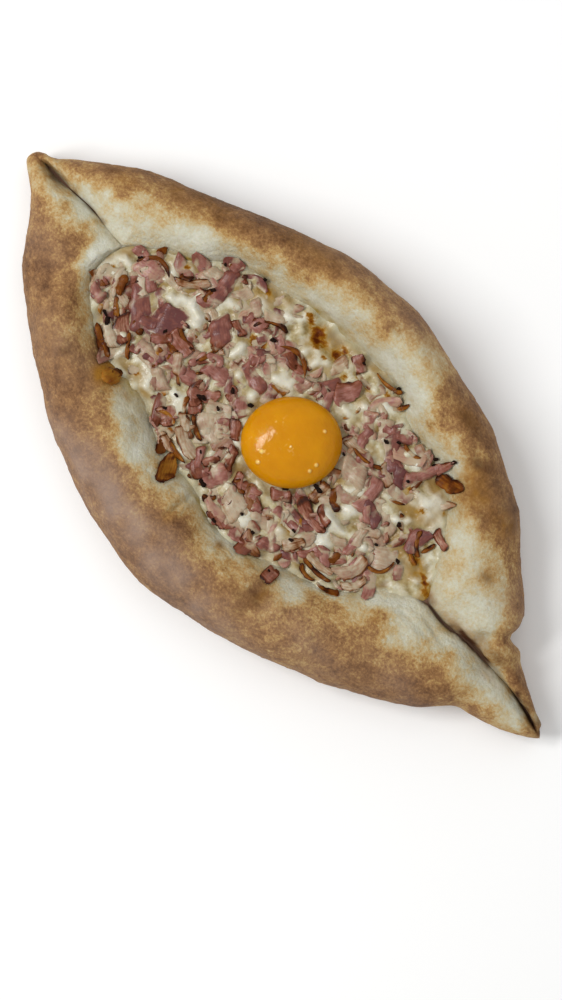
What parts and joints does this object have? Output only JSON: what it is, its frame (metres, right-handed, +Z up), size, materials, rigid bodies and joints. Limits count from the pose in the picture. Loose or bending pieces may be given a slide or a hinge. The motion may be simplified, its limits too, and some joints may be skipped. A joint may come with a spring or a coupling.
{
  "type": "khachapuri",
  "caption": "Boat-shaped baked bread with pinched ends, filled with melted cheese and chopped ham, with a raw egg yolk in the middle.",
  "frame": {"origin": "centre of the bounding box, on the flat underside that the bread rests on", "axes": "+X along the boat from its blunter tip to its drawn-out tip, +Y across it, +Z up out of the filling"},
  "size_m": [0.295, 0.1463, 0.0384],
  "materials": {
    "baked_dough": "matt baked crust",
    "melted_cheese": "oily melted cheese with chopped ham",
    "raw_yolk": "wet and glossy"
  },
  "bodies": {
    "root": {"dough_boat": "baked_dough", "ham_and_cheese": "melted_cheese", "egg_yolk": "raw_yolk"}
  },
  "joints": []
}
